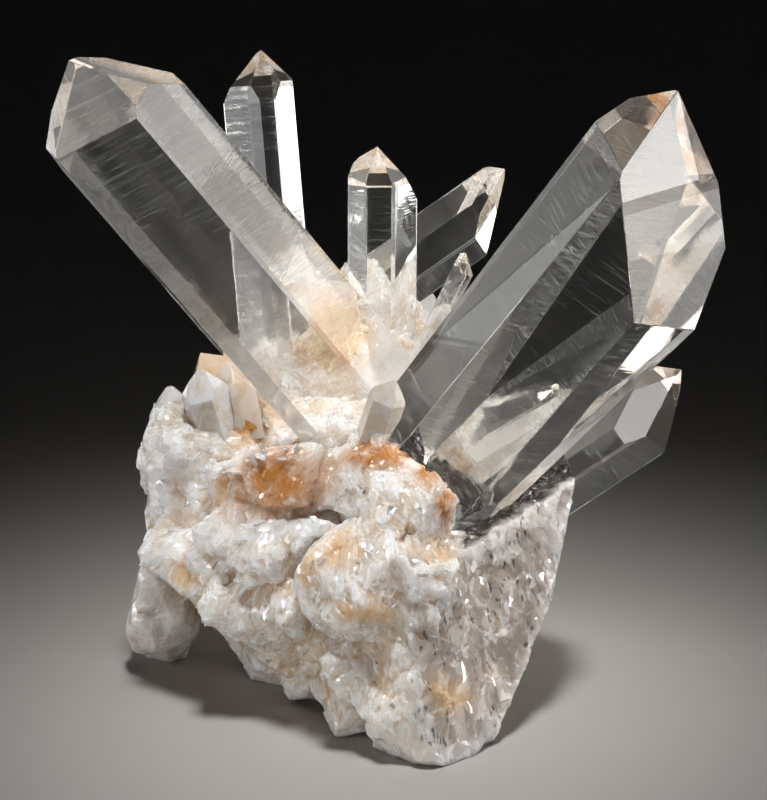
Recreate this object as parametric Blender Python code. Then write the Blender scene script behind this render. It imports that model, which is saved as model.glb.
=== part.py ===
"""Quartz crystal cluster: clear quartz points standing on a broken lump of milky quartz.

Metres, +Z up. The lump is sawn flat underneath and rests on the plane z = 0. The
origin is on that flat cut, under the middle of the lump. -Y is the front.
Every crystal is a six-sided prism with a six-faced point, cut from a block with planes
set at the angles of real quartz. The lump is a union of broken chunks, small chips and
small stubby points that have grown together.
"""
import math
import random

import bmesh
import bpy
from mathutils import Euler, Matrix, Vector
from mathutils.bvhtree import BVHTree

MM = 0.001

# Driving dimensions, in millimetres and degrees
POINT_ANGLE = 51.8      # a quartz point's faces against the plane across the crystal
CLEARANCE = 0.3         # gap between a crystal's root and the lump that holds it
SHORTEST = 0.015        # edges shorter than this are closed up
CHIP_COUNT = 56         # small broken chips on the lump
CHIP_SIZE = (2.4, 4.8)  # half size of a chip
CHIP_SEED = 7

# The clear crystals. root: middle of the root end. lean: away from upright. turn: the
# compass direction it leans to, from +X. roll: how far its first side is turned.
# reach: height of the shoulder, where the side distances are measured. taper: how much
# each side narrows upwards. tips: where each face of the point meets the axis.
CRYSTALS = {
    "crystal_left": dict(
        root=(-5.4, 3.4, 44.8), lean=38.0, turn=-151.0, roll=53.3, reach=82.0,
        sides=(8.4, 10.4, 11.8, 6.3, 15.6, 11.3), taper=(0, 0, 0, 0, 0, 0),
        tips=(83.5, 87.7, 83.7, 84.8, 82.3, 87.3)),
    "crystal_right": dict(
        root=(9.6, -2.6, 34.2), lean=34.3, turn=-7.4, roll=-94.8, reach=72.0,
        sides=(18.0, 19.2, 21.8, 16.0, 10.6, 13.7), taper=(2.1, -2.6, -14.0, 0, -1.8, 3.1),
        tips=(94.0, 69.9, 81.2, 77.6, 84.6, 83.7)),
    "crystal_back_left": dict(
        root=(-17.5, 31.1, 42.1), lean=15.6, turn=108.0, roll=169.0, reach=50.0,
        sides=(6.9, 5.1, 4.7, 5.5, 7.0, 4.2), taper=(0, 0, 0, 0, 0, 0),
        tips=(54.1, 54.8, 54.6, 54.1, 54.0, 53.3)),
    "crystal_centre": dict(
        root=(-0.5, 20.7, 45.8), lean=3.5, turn=86.0, roll=-173.3, reach=34.0,
        sides=(5.3, 3.9, 7.0, 5.5, 4.8, 5.1), taper=(0, 0, 0, 0, 0, 0),
        tips=(38.6, 37.1, 36.3, 36.8, 40.2, 38.7)),
    "crystal_back_right": dict(
        root=(-2.4, 33.4, 55.0), lean=57.0, turn=11.4, roll=-106.6, reach=27.0,
        sides=(6.8, 6.1, 7.3, 6.2, 4.5, 5.0), taper=(0, 0, 0, 0, 0, 0),
        tips=(31.2, 27.4, 28.6, 31.0, 34.5, 34.1)),
    "crystal_small": dict(
        root=(4.6, 12.0, 46.6), lean=25.6, turn=10.4, roll=-85.5, reach=20.6,
        sides=(2.4, 2.3, 2.4, 2.4, 1.1, 1.8), taper=(0, 0, 0, 0, 0, 0),
        tips=(22.6, 22.3, 22.6, 22.6, 23.5, 23.2)),
    "crystal_low_right": dict(
        root=(17.0, 7.3, 22.6), lean=54.8, turn=1.0, roll=-96.9, reach=38.0,
        sides=(10.7, 6.6, 10.3, 6.0, 6.0, 6.9), taper=(0, 0, 0, 0, 0, 0),
        tips=(42.0, 40.0, 43.4, 43.1, 44.1, 43.0)),
}

# Large breaks that cross several chunks: the flat pitted face at the front right, the
# broken end beside it in two flats, the shelf above it and the hollow under the left side.
BREAKS = {
    "slab": ((0.62, -0.70, 0.35), (10.7, -47.0, 0.0)),
    "end": ((0.94, 0.10, -0.33), (27.6, -23.2, 17.5)),
    "toe": ((0.83, 0.09, -0.55), (19.8, -37.3, 3.3)),
    "shelf": ((-0.24, 0.0, 0.97), (15.1, -27.2, 31.0)),
    "under": ((-0.64, -0.30, -0.71), (-19.2, -8.3, 0.8)),
}

# Chunks of the lump: centre, half sizes, turn about Z, number of faces, breaks that cut it
CHUNKS = (
    ((-3.0, 1.5, 15.0), (26, 30, 24), 20, 16, ("slab", "end", "toe", "shelf")),
    ((-6.5, 23.5, 22.5), (20, 15, 20), 10, 14, ()),
    ((7.5, -26.5, 13.5), (17, 20, 24), 40, 14, ("slab", "end", "toe", "shelf")),
    ((9.0, -38.0, 6.0), (11, 10, 12), 20, 14, ("slab", "end", "toe")),
    ((22.0, -9.0, 20.5), (16, 20, 20), 45, 14, ("slab", "end", "toe", "shelf")),
    ((23.0, -12.0, 25.0), (14, 13, 13), 45, 12, ("slab", "end", "toe", "shelf")),
    ((0.0, -30.5, 23.5), (13, 10.5, 12.5), 0, 18, ()),
    ((-0.5, -31.0, 12.5), (10.5, 10, 10.5), 0, 14, ()),
    ((-3.5, -29.5, 6.0), (8, 9, 7.5), 0, 12, ()),
    ((-16.0, -13.5, 35.0), (9.5, 8, 6.5), 15, 10, ()),
    ((-2.0, -16.0, 37.5), (10, 7, 6.5), 0, 12, ("slab",)),
    ((3.5, -24.5, 33.5), (8, 7, 9), 0, 12, ("slab",)),
    ((-27.0, 0.0, 27.5), (11.5, 14, 15), 0, 16, ()),
    ((-29.0, -8.0, 18.0), (12.5, 14, 11), 0, 16, ("under",)),
    ((-37.0, 0.0, 33.5), (4.6, 6, 4.5), 0, 12, ()),
    ((-35.5, -1.5, 24.5), (4.6, 7, 6), 0, 12, ()),
    ((-37.5, -4.5, 10.5), (5.6, 7, 11), 0, 14, ()),
    ((-16.5, -17.0, 16.5), (15, 12, 15), 0, 16, ("under",)),
    ((-18.0, -16.0, 25.0), (12, 10, 11), 0, 14, ("under",)),
    ((-14.0, -10.0, 6.0), (14, 13, 12), 0, 14, ("under",)),
    ((-30.0, -1.0, 37.0), (8, 8, 7), 0, 12, ()),
    ((-35.5, 1.0, 40.0), (3.4, 5, 6.5), 0, 10, ()),
    ((-7.5, 29.0, 2.0), (24, 16, 17), 0, 16, ()),
    ((20.0, 12.0, 9.0), (12, 13, 16), 0, 14, ("slab", "end", "toe", "shelf")),
    ((-4.0, 24.0, 40.0), (16, 15, 12), 0, 14, ()),
    ((-2.0, 2.0, 38.0), (12, 12, 9), 0, 14, ()),
    ((-17.0, 29.0, 37.0), (11, 11, 12), 0, 12, ()),
    ((-3.0, 32.0, 45.0), (12, 10, 13), 0, 12, ()),
    ((-10.0, 9.0, 39.0), (13, 11, 9), 0, 12, ()),
)

# Small stubby points fused to the lump: root, lean, turn, roll, radius, length
STUBS = (
    ((-27.0, -2.5, 38.5), 16, -177, 20, 4.0, 13.0),
    ((-25.0, 5.5, 39.5), 24, 177, 5, 6.0, 12.5),
    ((-24.0, 0.5, 38.5), 14, 140, 40, 4.6, 12.0),
    ((-35.0, 0.5, 38.0), 13, 128, 10, 2.2, 8.5),
    ((-1.5, -14.5, 44.0), 18, -20, 30, 3.0, 10.5),
    ((3.5, 9.0, 45.0), 29, 16, 15, 1.5, 15.0),
    ((-22.0, 33.0, 38.0), 52, 118, 0, 3.6, 14.0),
    ((4.0, 37.0, 40.0), 48, 75, 25, 4.2, 15.0),
    ((-14.0, 42.0, 24.0), 70, 100, 10, 3.2, 13.0),
    ((17.0, 24.0, 17.0), 62, 42, 35, 3.8, 13.0),
    ((-31.0, 15.0, 25.0), 62, 138, 20, 3.0, 11.0),
)


def clear_scene():
    for obj in list(bpy.data.objects):
        bpy.data.objects.remove(obj, do_unlink=True)


def new_collection(name):
    coll = bpy.data.collections.new(name)
    bpy.context.scene.collection.children.link(coll)
    return coll


def add_object(name, bm, coll):
    mesh = bpy.data.meshes.new(name)
    bm.to_mesh(mesh)
    bm.free()
    obj = bpy.data.objects.new(name, mesh)
    coll.objects.link(obj)
    return obj


def slice_off(bm, point, normal):
    """Cut away what lies beyond a plane and close the cut with one flat face."""
    geom = bm.verts[:] + bm.edges[:] + bm.faces[:]
    cut = bmesh.ops.bisect_plane(bm, geom=geom, dist=1e-7, plane_co=point,
                                 plane_no=normal, clear_outer=True)
    rim = [e for e in cut["geom_cut"] if isinstance(e, bmesh.types.BMEdge)]
    if len(rim) > 2:
        bmesh.ops.contextual_create(bm, geom=rim)


def cut_solid(planes, size, grow=0.0):
    """A cube of the given size cut down by planes, each pushed out by grow (mm)."""
    bm = bmesh.new()
    bmesh.ops.create_cube(bm, size=2.0 * size * MM)
    for normal, point in planes:
        normal = Vector(normal).normalized()
        slice_off(bm, (Vector(point) + normal * grow) * MM, normal)
    bmesh.ops.remove_doubles(bm, verts=bm.verts, dist=2e-6)
    bmesh.ops.recalc_face_normals(bm, faces=bm.faces)
    return bm


def crystal_planes(roll, reach, sides, taper, tips):
    """Planes of a quartz crystal along +Z, with its root end at z = 0."""
    planes = [((0, 0, -1), (0, 0, 0))]
    tip = math.radians(POINT_ANGLE)
    for k in range(6):
        a = math.radians(roll + 60 * k)
        t = math.radians(taper[k])
        ca, sa = math.cos(a), math.sin(a)
        planes.append(((math.cos(t) * ca, math.cos(t) * sa, math.sin(t)),
                       (sides[k] * ca, sides[k] * sa, reach)))
        planes.append(((math.sin(tip) * ca, math.sin(tip) * sa, math.cos(tip)),
                       (0, 0, tips[k])))
    return planes


def add_crystal(name, spec, coll):
    planes = crystal_planes(spec["roll"], spec["reach"], spec["sides"], spec["taper"],
                            spec["tips"])
    obj = add_object(name, cut_solid(planes, 2.0 * spec["reach"]), coll)
    obj.location = Vector(spec["root"]) * MM
    obj.rotation_euler = Euler((0, math.radians(spec["lean"]), math.radians(spec["turn"])))
    return obj


def chunk_planes(centre, half, turn, faces, seed, breaks=()):
    """Planes of a broken chunk: jittered directions around an ellipsoid."""
    rng = random.Random(seed)
    spin = Matrix.Rotation(math.radians(turn), 3, "Z")
    golden = math.pi * (3.0 - math.sqrt(5.0))
    start = rng.uniform(0.0, 2.0 * math.pi)
    planes = []
    for i in range(faces):
        z = 1.0 - 2.0 * (i + 0.5) / faces
        r = math.sqrt(1.0 - z * z)
        a = golden * i + start
        n = Vector((r * math.cos(a) + rng.uniform(-0.22, 0.22),
                    r * math.sin(a) + rng.uniform(-0.22, 0.22),
                    z + rng.uniform(-0.22, 0.22))).normalized()
        far = rng.uniform(0.80, 1.0)
        m = spin @ Vector((n.x / half[0], n.y / half[1], n.z / half[2]))
        planes.append((m, Vector(centre) + m * (far / m.length_squared)))
    for key in breaks:
        planes.append(BREAKS[key])
    return planes


def chunk_solid(planes, centre, size, grow):
    """A chunk's cube starts round its own centre, so shift the planes there and back."""
    at = Vector(centre)
    bm = cut_solid([(n, Vector(p) - at) for n, p in planes], size, grow)
    bmesh.ops.translate(bm, verts=bm.verts, vec=at * MM)
    return bm


def stub_solid(root, lean, turn, roll, radius, length, seed, grow):
    """A small point with uneven sides, fused into the lump."""
    rng = random.Random(seed)
    sides = [radius * rng.uniform(0.72, 1.0) for _ in range(6)]
    tips = [length + radius * rng.uniform(0.0, 0.9) for _ in range(6)]
    planes = crystal_planes(roll, length, sides, (0,) * 6, tips)
    bm = cut_solid(planes, 2.0 * length, grow)
    frame = Euler((0, math.radians(lean), math.radians(turn))).to_matrix().to_4x4()
    frame.translation = Vector(root) * MM
    bm.transform(frame)
    return bm


def boolean(obj, operation, tools):
    """Apply an exact Boolean of obj with every object in the tools collection."""
    mod = obj.modifiers.new(operation.lower(), "BOOLEAN")
    mod.operation = operation
    mod.operand_type = "COLLECTION"
    mod.collection = tools
    mod.solver = "EXACT"
    graph = bpy.context.evaluated_depsgraph_get()
    mesh = bpy.data.meshes.new_from_object(obj.evaluated_get(graph))
    obj.modifiers.clear()
    obj.data = mesh
    keep_largest(obj)


def tool_set(name, solids):
    tools = bpy.data.collections.new(name)
    for i, bm in enumerate(solids):
        add_object(f"{name}_{i}", bm, tools)
    return tools


def remove_tools(tools):
    for obj in list(tools.objects):
        bpy.data.objects.remove(obj, do_unlink=True)
    bpy.data.collections.remove(tools)


def joined(name, solids, coll):
    """One closed solid from overlapping solids."""
    body = add_object(name, solids[0], coll)
    tools = tool_set(name + "_piece", solids[1:])
    boolean(body, "UNION", tools)
    remove_tools(tools)
    return body


def keep_largest(obj):
    """Drop the loose slivers that a cut can leave, and clean up short edges."""
    bm = bmesh.new()
    bm.from_mesh(obj.data)
    bmesh.ops.remove_doubles(bm, verts=bm.verts, dist=SHORTEST * MM)
    bmesh.ops.dissolve_degenerate(bm, edges=bm.edges, dist=SHORTEST * MM)
    bodies, seen = [], set()
    for face in bm.faces:
        if face in seen:
            continue
        body, queue = [], [face]
        seen.add(face)
        while queue:
            f = queue.pop()
            body.append(f)
            for edge in f.edges:
                for other in edge.link_faces:
                    if other not in seen:
                        seen.add(other)
                        queue.append(other)
        bodies.append(body)
    bodies.sort(key=lambda faces: sum(f.calc_area() for f in faces))
    loose = [f for faces in bodies[:-1] for f in faces]
    if loose:
        bmesh.ops.delete(bm, geom=loose, context="FACES")
    bm.to_mesh(obj.data)
    bm.free()


def near_crystal(spot, margin):
    """True where a chip would reach into one of the clear crystals."""
    for spec in CRYSTALS.values():
        turn = Euler((0, math.radians(spec["lean"]), math.radians(spec["turn"])))
        axis = turn.to_matrix() @ Vector((0, 0, 1))
        rel = spot - Vector(spec["root"])
        along = rel.dot(axis)
        if along > -6.0 and (rel - axis * along).length < max(spec["sides"]) + margin:
            return True
    return False


def chip_spots(bulk):
    """Places on the outside of the bulk for small chips, with their sizes."""
    graph = bpy.context.evaluated_depsgraph_get()
    tree = BVHTree.FromObject(bulk, graph)
    flat = [Vector(BREAKS[k][0]).normalized() for k in ("slab", "end", "toe")]
    rng = random.Random(CHIP_SEED)
    spots = []
    while len(spots) < CHIP_COUNT:
        away = Vector((rng.gauss(0, 1), rng.gauss(0, 1), rng.gauss(0, 1))).normalized()
        middle = Vector((rng.uniform(-24, 10), rng.uniform(-24, 22), rng.uniform(6, 28)))
        start = (middle + away * 150.0) * MM
        spot, normal, _, _ = tree.ray_cast(start, -away)
        size = rng.uniform(*CHIP_SIZE)
        if spot is None or normal.z < -0.35:
            continue
        spot = spot / MM
        if spot.z < 2.5 or any(normal.dot(n) > 0.985 for n in flat):
            continue
        if near_crystal(spot, size + 0.5):
            continue
        spots.append((spot - normal * size * 0.65, size))
    return spots


def lump_solids(grow):
    """The big chunks and the stubby points that make up the lump."""
    solids = []
    for i, (centre, half, turn, faces, breaks) in enumerate(CHUNKS):
        planes = chunk_planes(centre, half, turn, faces, 11 + i, breaks)
        solids.append(chunk_solid(planes, centre, 1.5 * max(half), grow))
    return solids


def detail_solids(spots, grow):
    """The stubby points and the small broken chips."""
    solids = []
    for i, stub in enumerate(STUBS):
        solids.append(stub_solid(*stub, 300 + i, grow))
    for i, (spot, size) in enumerate(spots):
        rng = random.Random(900 + i)
        half = [size * rng.uniform(0.75, 1.25) for _ in range(3)]
        planes = chunk_planes(spot, half, rng.uniform(0, 180), rng.choice((8, 9, 10)), 600 + i)
        solids.append(chunk_solid(planes, spot, 2.5 * size, grow))
    return solids


def saw_box():
    """The box below z = 0 that saws the lump flat."""
    bm = bmesh.new()
    bmesh.ops.create_cube(bm, size=1.0)
    bmesh.ops.scale(bm, verts=bm.verts, vec=(0.2, 0.2, 0.06))
    bmesh.ops.translate(bm, verts=bm.verts, vec=(0, 0, -0.03))
    return bm


def quartz_material(name, colour, roughness, clear):
    mat = bpy.data.materials.new(name)
    mat.use_nodes = True
    shader = mat.node_tree.nodes["Principled BSDF"]
    shader.inputs["Base Color"].default_value = (*colour, 1.0)
    shader.inputs["Roughness"].default_value = roughness
    shader.inputs["Metallic"].default_value = 0.0
    shader.inputs["IOR"].default_value = 1.544
    shader.inputs["Transmission Weight"].default_value = 1.0 if clear else 0.0
    return mat


def build():
    clear_scene()
    parts = new_collection("quartz_crystal_cluster")

    bulk = joined("bulk", lump_solids(0.0), parts)
    spots = chip_spots(bulk)
    bpy.data.objects.remove(bulk, do_unlink=True)

    matrix = joined("matrix", lump_solids(0.0) + detail_solids(spots, 0.0), parts)
    saw = tool_set("saw", [saw_box()])
    boolean(matrix, "DIFFERENCE", saw)
    remove_tools(saw)
    milky = quartz_material("milky_quartz", (0.82, 0.76, 0.68), 0.45, False)
    matrix.data.materials.clear()
    matrix.data.materials.append(milky)

    room = tool_set("room", lump_solids(CLEARANCE) + detail_solids(spots, CLEARANCE))
    clear = quartz_material("clear_quartz", (0.96, 0.95, 0.93), 0.03, True)
    for name, spec in CRYSTALS.items():
        crystal = add_crystal(name, spec, parts)
        boolean(crystal, "DIFFERENCE", room)
        crystal.data.materials.clear()
        crystal.data.materials.append(clear)
    remove_tools(room)


build()
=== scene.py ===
"""Quartz crystal cluster: clear quartz points on a broken lump of milky quartz.

Laid out as an add-on, but run as a script. Each operator makes one group of pieces
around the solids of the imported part, in metres, +Z up, with the front towards -Y.
"""
import math
import random

import bmesh
import bpy
import numpy as np
from bpy.props import FloatProperty, FloatVectorProperty, IntProperty, PointerProperty
from bpy.types import Operator, Panel, PropertyGroup
from mathutils import Euler, Matrix, Vector
from mathutils.bvhtree import BVHTree


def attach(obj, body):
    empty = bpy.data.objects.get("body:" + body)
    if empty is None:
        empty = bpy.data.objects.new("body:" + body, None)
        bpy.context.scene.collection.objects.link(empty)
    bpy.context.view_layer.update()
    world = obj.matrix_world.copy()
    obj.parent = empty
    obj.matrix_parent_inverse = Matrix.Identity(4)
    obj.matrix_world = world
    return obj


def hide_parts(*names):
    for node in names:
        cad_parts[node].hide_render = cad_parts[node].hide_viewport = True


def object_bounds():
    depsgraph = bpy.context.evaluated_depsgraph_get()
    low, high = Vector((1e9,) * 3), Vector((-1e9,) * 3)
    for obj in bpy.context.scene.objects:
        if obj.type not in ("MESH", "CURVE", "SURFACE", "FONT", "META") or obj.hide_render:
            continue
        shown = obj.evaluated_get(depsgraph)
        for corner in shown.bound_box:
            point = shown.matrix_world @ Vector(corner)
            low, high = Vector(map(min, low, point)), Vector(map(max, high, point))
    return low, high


bl_info = {
    "name": "Quartz crystal cluster",
    "version": (1, 0, 0),
    "blender": (4, 5, 0),
    "location": "View3D > Sidebar > Quartz",
    "description": "Builds a cluster of clear quartz points on milky quartz",
    "category": "Object",
}

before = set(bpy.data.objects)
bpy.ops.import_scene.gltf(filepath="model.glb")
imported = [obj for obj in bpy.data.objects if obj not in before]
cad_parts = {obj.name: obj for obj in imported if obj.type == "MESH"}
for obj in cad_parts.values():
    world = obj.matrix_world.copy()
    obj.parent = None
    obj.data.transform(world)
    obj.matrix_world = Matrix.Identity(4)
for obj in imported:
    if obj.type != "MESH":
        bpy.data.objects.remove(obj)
CAD_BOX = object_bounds()
MM = 0.001
QUARTZ_IOR = 1.544
WELD = 2e-6  # points nearer than this, in metres, are one
# the sockets of a Mix node for colours
FACTOR, UNDER, OVER, MIXED = 0, 6, 7, 2
RUSTY_VEIL = (-8.3, -7.4, 60.3)  # middle of the rusty cloud in the left crystal, mm
POINT_ANGLE = 51.8  # a quartz point's faces against the plane across the crystal, degrees
STRAIGHT = (0,) * 6  # the taper of a crystal whose sides are parallel

# The clear crystals, as the solids have them, in millimetres and degrees. root: middle of the
# root end. lean: away from upright. turn: compass direction of the lean, from +X. roll: turn of
# the first side. reach: height of the shoulder, where the side distances are measured. taper:
# how much each side narrows upwards. tips: where each face of the point meets the axis. haze:
# how thick the white veils are at the root of each side, and how far up they reach. Last, the
# sides with a painted highlight, a white band along one edge, and how far from the middle it
# begins.
CRYSTALS = {
    "crystal_left": dict(
        root=(-5.4, 3.4, 44.8), lean=38.0, turn=-151.0, roll=53.3, reach=82.0,
        sides=(8.4, 10.4, 11.8, 6.3, 15.6, 11.3),
        tips=(83.5, 87.7, 83.7, 84.8, 82.3, 87.3),
        haze=((0.5, 0.85, 0.7, 0.4, 0.3, 1.0), 40.0), highlight_bands={0: -4.8, 1: -2.6}),
    "crystal_right": dict(
        root=(9.6, -2.6, 34.2), lean=34.3, turn=-7.4, roll=-94.8, reach=72.0,
        sides=(18.0, 19.2, 21.8, 16.0, 10.6, 13.7), taper=(2.1, -2.6, -14.0, 0, -1.8, 3.1),
        tips=(94.0, 69.9, 81.2, 77.6, 84.6, 83.7),
        haze=((0.15, 0.2, 0.1, 0.1, 0.1, 0.35), 26.0)),
    "crystal_back_left": dict(
        root=(-17.5, 31.1, 42.1), lean=15.6, turn=108.0, roll=169.0, reach=50.0,
        sides=(6.9, 5.1, 4.7, 5.5, 7.0, 4.2),
        tips=(54.1, 54.8, 54.6, 54.1, 54.0, 53.3),
        haze=((0.9, 0.6, 0.5, 0.7, 0.5, 0.6), 34.0)),
    "crystal_centre": dict(
        root=(-0.5, 20.7, 45.8), lean=3.5, turn=86.0, roll=-173.3, reach=34.0,
        sides=(5.3, 3.9, 7.0, 5.5, 4.8, 5.1),
        tips=(38.6, 37.1, 36.3, 36.8, 40.2, 38.7),
        haze=((1.0, 0.8, 0.7, 0.8, 0.6, 0.7), 24.0)),
    "crystal_back_right": dict(
        root=(-2.4, 33.4, 55.0), lean=57.0, turn=11.4, roll=-106.6, reach=27.0,
        sides=(6.8, 6.1, 7.3, 6.2, 4.5, 5.0),
        tips=(31.2, 27.4, 28.6, 31.0, 34.5, 34.1),
        haze=((0.4, 0.4, 0.3, 0.3, 0.3, 0.3), 16.0)),
    "crystal_small": dict(
        root=(4.6, 12.0, 46.6), lean=25.6, turn=10.4, roll=-85.5, reach=20.6,
        sides=(2.4, 2.3, 2.4, 2.4, 1.1, 1.8),
        tips=(22.6, 22.3, 22.6, 22.6, 23.5, 23.2),
        haze=((1.0, 1.0, 0.9, 1.0, 0.9, 1.0), 30.0)),
    "crystal_low_right": dict(
        root=(17.0, 7.3, 22.6), lean=54.8, turn=1.0, roll=-96.9, reach=38.0,
        sides=(10.7, 6.6, 10.3, 6.0, 6.0, 6.9),
        tips=(42.0, 40.0, 43.4, 43.1, 44.1, 43.0),
        haze=((0.2, 0.1, 0.1, 0.1, 0.1, 0.2), 16.0)),
}


# Softboxes, in metres: name, the pieces it lights by the beginnings of their names, place,
# aim, width and height, brightness
CRYSTAL, LUMP = "clear", ("milky", "cloudy", "broken")
ALL = (CRYSTAL, *LUMP)
LEFT, LOW_RIGHT = "clear_crystal_left", "clear_crystal_low_right"
REAR = ("clear_crystal_centre", "clear_crystal_back", "clear_crystal_small")
NOT_LEFT = (*LUMP, *REAR, LOW_RIGHT, "clear_crystal_right")
SOFTBOXES = (
    ("right", NOT_LEFT, (0.22, 0.0, 0.10), (0.0, 0.0, 0.10), (0.13, 0.08), 4.5),
    ("right_dim", LEFT, (0.22, 0.0, 0.10), (0.0, 0.0, 0.10), (0.13, 0.08), 2.4),
    ("low_right", ALL, (0.17, 0.05, 0.035), (0.0, 0.05, 0.035), (0.30, 0.06), 1.6),
    ("low_left", ALL, (-0.17, 0.09, 0.035), (0.0, 0.09, 0.035), (0.20, 0.06), 2.0),
    ("rear_right", REAR, (0.17, 0.13, 0.035), (0.0, 0.13, 0.035), (0.20, 0.06), 4.5),
    ("rear_left", REAR, (-0.17, 0.12, 0.035), (0.0, 0.12, 0.035), (0.20, 0.06), 3.5),
    ("high_left", CRYSTAL, (-0.235, 0.0, 0.50), (0.0, 0.0, 0.055), (0.26, 0.26), 2.6),
    ("left", ALL, (-0.35, -0.35, 0.125), (0.0, 0.0, 0.055), (0.45, 0.26), 1.4),
    ("left_tip", LEFT, (-0.43, -0.25, 0.125), (0.0, 0.0, 0.055), (0.26, 0.26), 0.8),
    ("low_tip", LOW_RIGHT, (0.43, -0.25, 0.125), (0.02, 0.0, 0.05), (0.36, 0.36), 6.0),
    ("back_right", ALL, (0.43, 0.25, 0.125), (0.0, 0.0, 0.055), (0.26, 0.26), 1.1),
    ("back_left", ALL, (-0.43, 0.25, 0.125), (0.0, 0.0, 0.055), (0.30, 0.26), 1.0),
    ("back", ALL, (0.0, 0.50, 0.125), (0.0, 0.0, 0.055), (0.26, 0.26), 0.4),
    ("front", LUMP, (-0.12, -0.50, 0.22), (0.0, 0.0, 0.03), (0.45, 0.40), 1.0),
    ("top", None, (0.0, -0.04, 0.50), (0.0, -0.04, 0.0), (0.10, 0.10), 1.6),
)

ROOM = (0.006, 0.006, 0.0062, 1.0)  # the dim room's light
TOP_SPREAD = 26.0  # how wide the overhead softbox shines, in degrees
# The photo's view: its rise in degrees, and in metres its distance, the height that it looks
# at and the height that it spans there
VIEW_RISE, VIEW_DISTANCE, VIEW_MIDDLE, VIEW_HEIGHT = 20.0, 0.7, 0.0456, 0.1344


# Shared tools

def linear(hex_colour):
    """An sRGB hex colour as linear RGBA."""
    out = []
    for i in (1, 3, 5):
        c = int(hex_colour[i:i + 2], 16) / 255.0
        out.append(c / 12.92 if c <= 0.04045 else ((c + 0.055) / 1.055) ** 2.4)
    return (*out, 1.0)


def new_material(name):
    """A material with its node tree and its main shader."""
    mat = bpy.data.materials.new(name)
    mat.use_nodes = True
    tree = mat.node_tree
    return mat, tree, tree.nodes["Principled BSDF"]


def add_node(tree, kind, settings=None, inputs=None, links=None):
    """Add one shader node: its settings, its socket values, and what feeds its sockets."""
    made = tree.nodes.new(kind)
    for key, value in (settings or {}).items():
        setattr(made, key, value)
    for key, value in (inputs or {}).items():
        made.inputs[key].default_value = value
    for key, source in (links or {}).items():
        tree.links.new(source, made.inputs[key])
    return made


def finish_piece(name, bm, material, replaces=()):
    """Turn a bmesh into a piece that rides with the cluster."""
    mesh = bpy.data.meshes.new(name)
    bm.to_mesh(mesh)
    bm.free()
    mesh.materials.append(material)
    obj = bpy.data.objects.new(name, mesh)
    bpy.context.scene.collection.objects.link(obj)
    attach(obj, "root")
    if replaces:
        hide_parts(*replaces)
    return obj


def slice_off(bm, point, normal):
    """Cut away what lies beyond a plane and close the cut with one flat face."""
    geom = bm.verts[:] + bm.edges[:] + bm.faces[:]
    cut = bmesh.ops.bisect_plane(bm, geom=geom, dist=1e-7, plane_co=point,
                                 plane_no=normal, clear_outer=True)
    rim = [e for e in cut["geom_cut"] if isinstance(e, bmesh.types.BMEdge)]
    if len(rim) > 2:
        bmesh.ops.contextual_create(bm, geom=rim)


def wear_edges(bm, edges, width):
    """Wear the edges round, and weld what meets."""
    bmesh.ops.bevel(bm, geom=edges, offset=width, segments=2, profile=0.5, affect="EDGES",
                    material=-1, clamp_overlap=True)
    bmesh.ops.remove_doubles(bm, verts=bm.verts, dist=WELD)


def any_way(rng):
    """A random way, of any length."""
    return Vector([rng.gauss(0, 1) for _ in range(3)])


# Broken surfaces

def dice(cell, seed, count):
    """Random numbers from 0 to 1 for each whole-number cell, always the same ones: large odd
    numbers scramble the cell's bits, and the top 53 bits are kept."""
    start = (cell[:, 0] * 73856093 ^ cell[:, 1] * 19349663 ^ cell[:, 2] * 83492791) + seed * 7919
    start = start.astype(np.uint64)
    out = np.empty((len(cell), count))
    for i in range(count):
        h = start * np.uint64(0x9E3779B97F4A7C15) + np.uint64(i * 0x632BE59BD9B4E019 % 2 ** 64)
        h = (h ^ (h >> np.uint64(30))) * np.uint64(0xBF58476D1CE4E5B9)
        h = (h ^ (h >> np.uint64(27))) * np.uint64(0x94D049BB133111EB)
        out[:, i] = ((h ^ (h >> np.uint64(31))) >> np.uint64(11)).astype(float) / 2.0 ** 53
    return out


def soft_noise(points, size, seed):
    """Smooth noise from -1 to 1 with lumps of the given size."""
    q = points / size
    base = np.floor(q).astype(np.int64)
    t = q - base
    t = t * t * (3.0 - 2.0 * t)
    total = np.zeros(len(points))
    for corner in np.ndindex(2, 2, 2):
        weight = np.prod(np.where(corner, t, 1.0 - t), axis=1)
        total += weight * dice(base + corner, seed, 1)[:, 0]
    return total * 2.0 - 1.0


def warp(points, size, amount, seed):
    """Push points about by smooth noise."""
    push = [soft_noise(points, size, seed + k) for k in range(3)]
    return points + amount * np.stack(push, axis=1)


def broken_cells(points, size, seed):
    """Four random numbers for each point, the same ones all over a broken cell."""
    grid = np.floor(points / size).astype(np.int64)
    best = np.full(len(points), np.inf)
    pick = np.zeros((len(points), 4))
    for step in np.ndindex(3, 3, 3):
        cell = grid + step - 1
        rolls = dice(cell, seed, 7)
        far = np.linalg.norm(points - (cell + rolls[:, :3]) * size, axis=1)
        near = far < best
        best = np.where(near, far, best)
        pick[near] = rolls[near, 3:]
    return pick


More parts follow.
